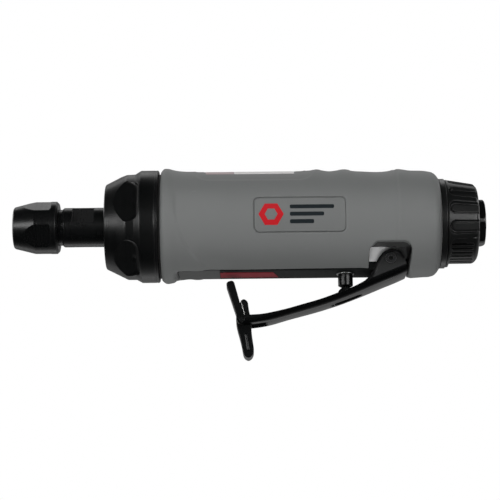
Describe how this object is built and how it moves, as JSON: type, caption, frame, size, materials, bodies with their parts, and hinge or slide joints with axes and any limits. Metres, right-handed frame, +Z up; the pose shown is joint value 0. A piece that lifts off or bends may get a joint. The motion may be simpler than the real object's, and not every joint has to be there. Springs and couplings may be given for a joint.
{
  "type": "die grinder",
  "caption": "Straight air die grinder with a 1/4 in collet, vane motor, throttle lever with folding safety lock, and rear exhaust deflector.",
  "frame": {"origin": "centre of the collet mouth, on the tool axis", "axes": "+X along the tool axis towards the air inlet, +Z up, away from the throttle lever"},
  "size_m": [0.172, 0.042, 0.0706],
  "materials": {
    "black_steel": "black oxide, satin",
    "spring_steel": "plain drawn steel",
    "black_anodised": "black anodised, fine turned lines",
    "felt": "pressed felt",
    "ground_steel": "ground",
    "vane_laminate": "fibre laminate",
    "cast_iron": "machined",
    "bare_aluminium": "machined",
    "grey_composite": "fine moulded texture",
    "badge_print": "printed panel",
    "label_film": "printed film",
    "label_red": "printed film",
    "black_painted_steel": "semi-gloss black",
    "nitrile": "moulded",
    "brass": "machined",
    "black_composite": "satin moulded",
    "bearing_steel": "polished"
  },
  "bodies": {
    "housing": {"front_cap": "black_anodised", "front_seal": "felt", "cylinder": "ground_steel", "cylinder_pin": "ground_steel", "front_endplate": "cast_iron", "rear_endplate": "cast_iron", "wave_washer": "spring_steel", "motor_housing": "bare_aluminium", "grip_sleeve": "grey_composite", "side_badge": "badge_print", "top_label": "label_film", "bottom_label": "label_red", "stem_bushing": "bare_aluminium", "valve_seat": "nitrile", "valve_spring": "spring_steel", "inlet_bushing": "black_steel", "inlet_screen": "brass", "inlet_oring": "nitrile", "deflector_collar": "black_composite", "front_bearing_outer": "bearing_steel", "rear_bearing_outer": "bearing_steel"},
    "spindle": {"rotor": "ground_steel", "spindle_nose": "black_steel", "vanes": "vane_laminate", "front_bearing_inner": "bearing_steel", "rear_bearing_inner": "bearing_steel"},
    "front_cage": {"front_bearing_cage": "brass", "front_bearing_balls": "bearing_steel"},
    "rear_cage": {"rear_bearing_cage": "brass", "rear_bearing_balls": "bearing_steel"},
    "collet": {"collet": "spring_steel"},
    "nut": {"collet_nut": "black_steel"},
    "lever": {"throttle_lever": "black_painted_steel", "lever_pin": "black_steel", "lock_pin": "black_steel", "lock_spring": "spring_steel"},
    "lock": {"safety_lock": "black_painted_steel"},
    "stem": {"valve_stem": "black_steel", "stem_oring": "nitrile"},
    "tilt": {"tilt_valve": "brass"},
    "deflector": {"exhaust_deflector": "black_composite", "exhaust_felt": "felt"}
  },
  "joints": [
    {"name": "spindle_spin", "type": "hinge", "parent": "housing", "child": "spindle", "pos_m": [0.04, 0, 0], "axis": [1, 0, 0], "continuous": true},
    {"name": "front_cage_spin", "type": "hinge", "parent": "housing", "child": "front_cage", "pos_m": [0.043, 0, 0], "axis": [1, 0, 0], "continuous": true},
    {"name": "rear_cage_spin", "type": "hinge", "parent": "housing", "child": "rear_cage", "pos_m": [0.1034, 0, 0], "axis": [1, 0, 0], "continuous": true},
    {"name": "collet_release", "type": "slide", "parent": "spindle", "child": "collet", "axis": [-1, 0, 0], "range_m": [0, 0.0015]},
    {"name": "nut_turn", "type": "hinge", "parent": "collet", "child": "nut", "pos_m": [0.008, 0, 0], "axis": [-1, 0, 0], "range_deg": [0, 540.2]},
    {"name": "lever_press", "type": "hinge", "parent": "housing", "child": "lever", "pos_m": [0.137, 0, -0.0146], "axis": [0, 1, 0], "range_deg": [0, 7], "deforming": ["lock_spring", "valve_spring"]},
    {"name": "lock_fold", "type": "hinge", "parent": "lever", "child": "lock", "pos_m": [0.083, 0, -0.036], "axis": [0, 1, 0], "range_deg": [0, 89]},
    {"name": "stem_lift", "type": "slide", "parent": "housing", "child": "stem", "axis": [0, 0, 1], "range_m": [0, 0.00196]},
    {"name": "tilt_open", "type": "hinge", "parent": "housing", "child": "tilt", "pos_m": [0.1345, 0, -0.005], "axis": [0, 1, 0], "range_deg": [0, 8.71]},
    {"name": "deflector_turn", "type": "hinge", "parent": "housing", "child": "deflector", "pos_m": [0.162, 0, 0], "axis": [1, 0, 0], "continuous": true}
  ],
  "couplings": [
    {"joint": "front_cage_spin", "follows": "spindle_spin", "ratio": 0.3677},
    {"joint": "rear_cage_spin", "follows": "spindle_spin", "ratio": 0.3677},
    {"joint": "nut_turn", "follows": "collet_release", "rad_per_m": 6283.2},
    {"joint": "lock_fold", "follows": "lever_press", "ratio": 12.7},
    {"joint": "stem_lift", "follows": "lever_press", "m_per_rad": 0.016},
    {"joint": "tilt_open", "follows": "lever_press", "ratio": 1.243}
  ]
}
